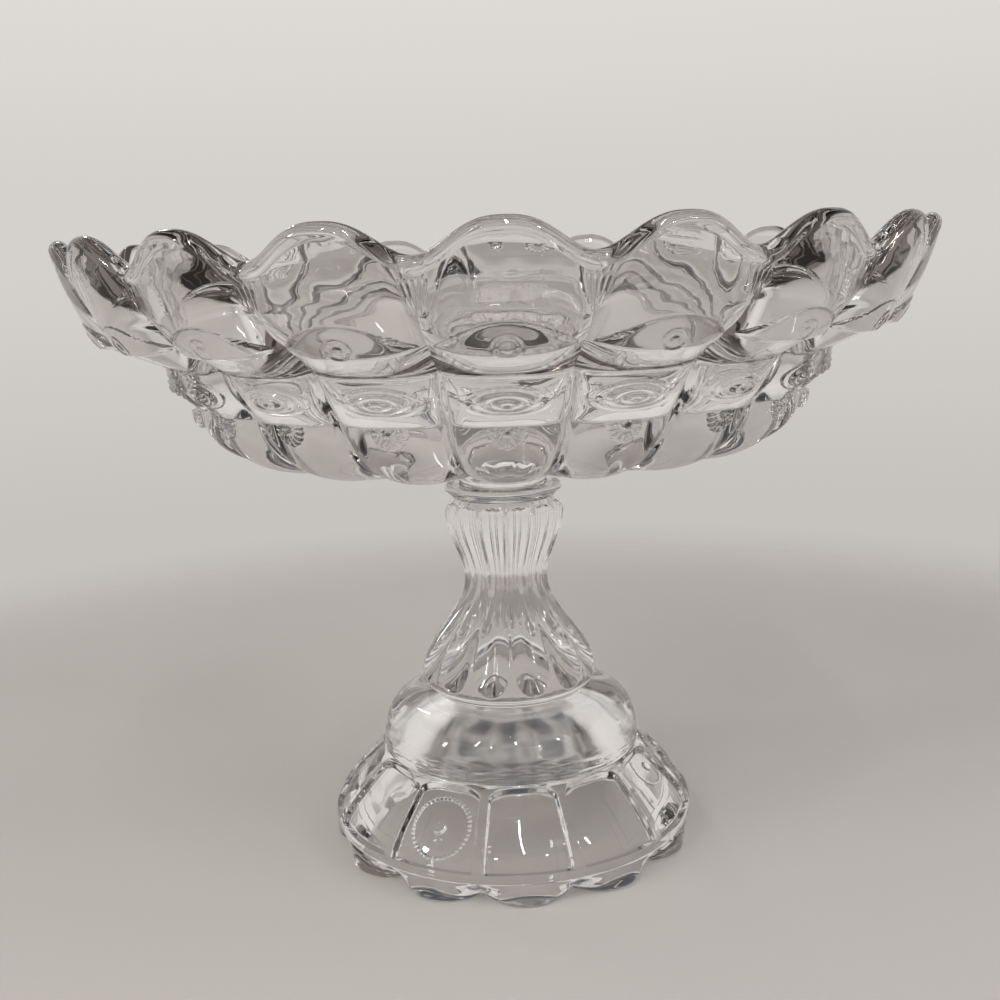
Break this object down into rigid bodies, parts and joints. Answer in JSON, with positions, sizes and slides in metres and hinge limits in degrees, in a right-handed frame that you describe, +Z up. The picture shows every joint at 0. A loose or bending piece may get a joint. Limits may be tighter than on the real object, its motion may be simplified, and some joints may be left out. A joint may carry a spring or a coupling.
{
  "type": "footed compote bowl",
  "caption": "Clear pressed-glass compote: a wide petalled bowl on a fluted stem with a bell base and a hollow scalloped foot, for serving fruit or sweets.",
  "frame": {"origin": "centre of the foot's ring on the table", "axes": "+Z up along the axis of bowl and stem, -Y towards the viewer of the picture"},
  "size_m": [0.24, 0.24, 0.1799],
  "materials": {
    "clear_glass": "fire-polished clear pressed glass with a faint warm grey tint"
  },
  "bodies": {
    "root": {"bowl": "clear_glass", "joining_wafer": "clear_glass", "stem": "clear_glass", "foot": "clear_glass"}
  },
  "joints": []
}
